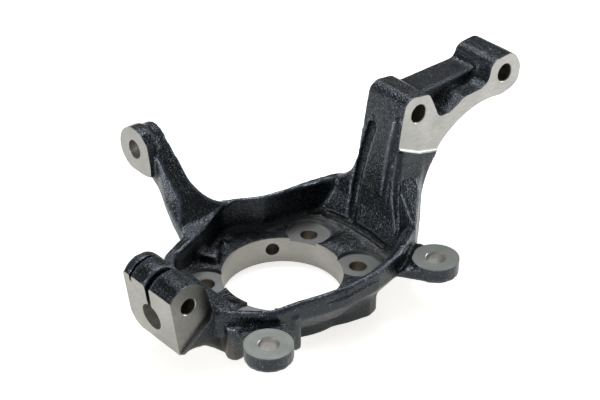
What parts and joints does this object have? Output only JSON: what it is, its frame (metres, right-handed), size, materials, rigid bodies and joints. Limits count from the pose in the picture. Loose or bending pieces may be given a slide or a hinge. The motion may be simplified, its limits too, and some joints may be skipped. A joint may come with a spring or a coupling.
{
  "type": "steering knuckle",
  "caption": "Cast steering knuckle with a machined hub bore, strut arm, steering arm, ball-joint clamp and brake caliper ears.",
  "frame": {"origin": "on the hub bore axis at the outboard end of the bore", "axes": "+Z along the hub bore axis, inboard; +X up the car, towards the strut bolts; +Y fore-and-aft, towards the tie-rod hole"},
  "size_m": [0.345, 0.2385, 0.1381],
  "materials": {
    "cast_iron": "black coated cast skin with bare machined seats"
  },
  "bodies": {
    "root": {"knuckle": "cast_iron"}
  },
  "joints": []
}
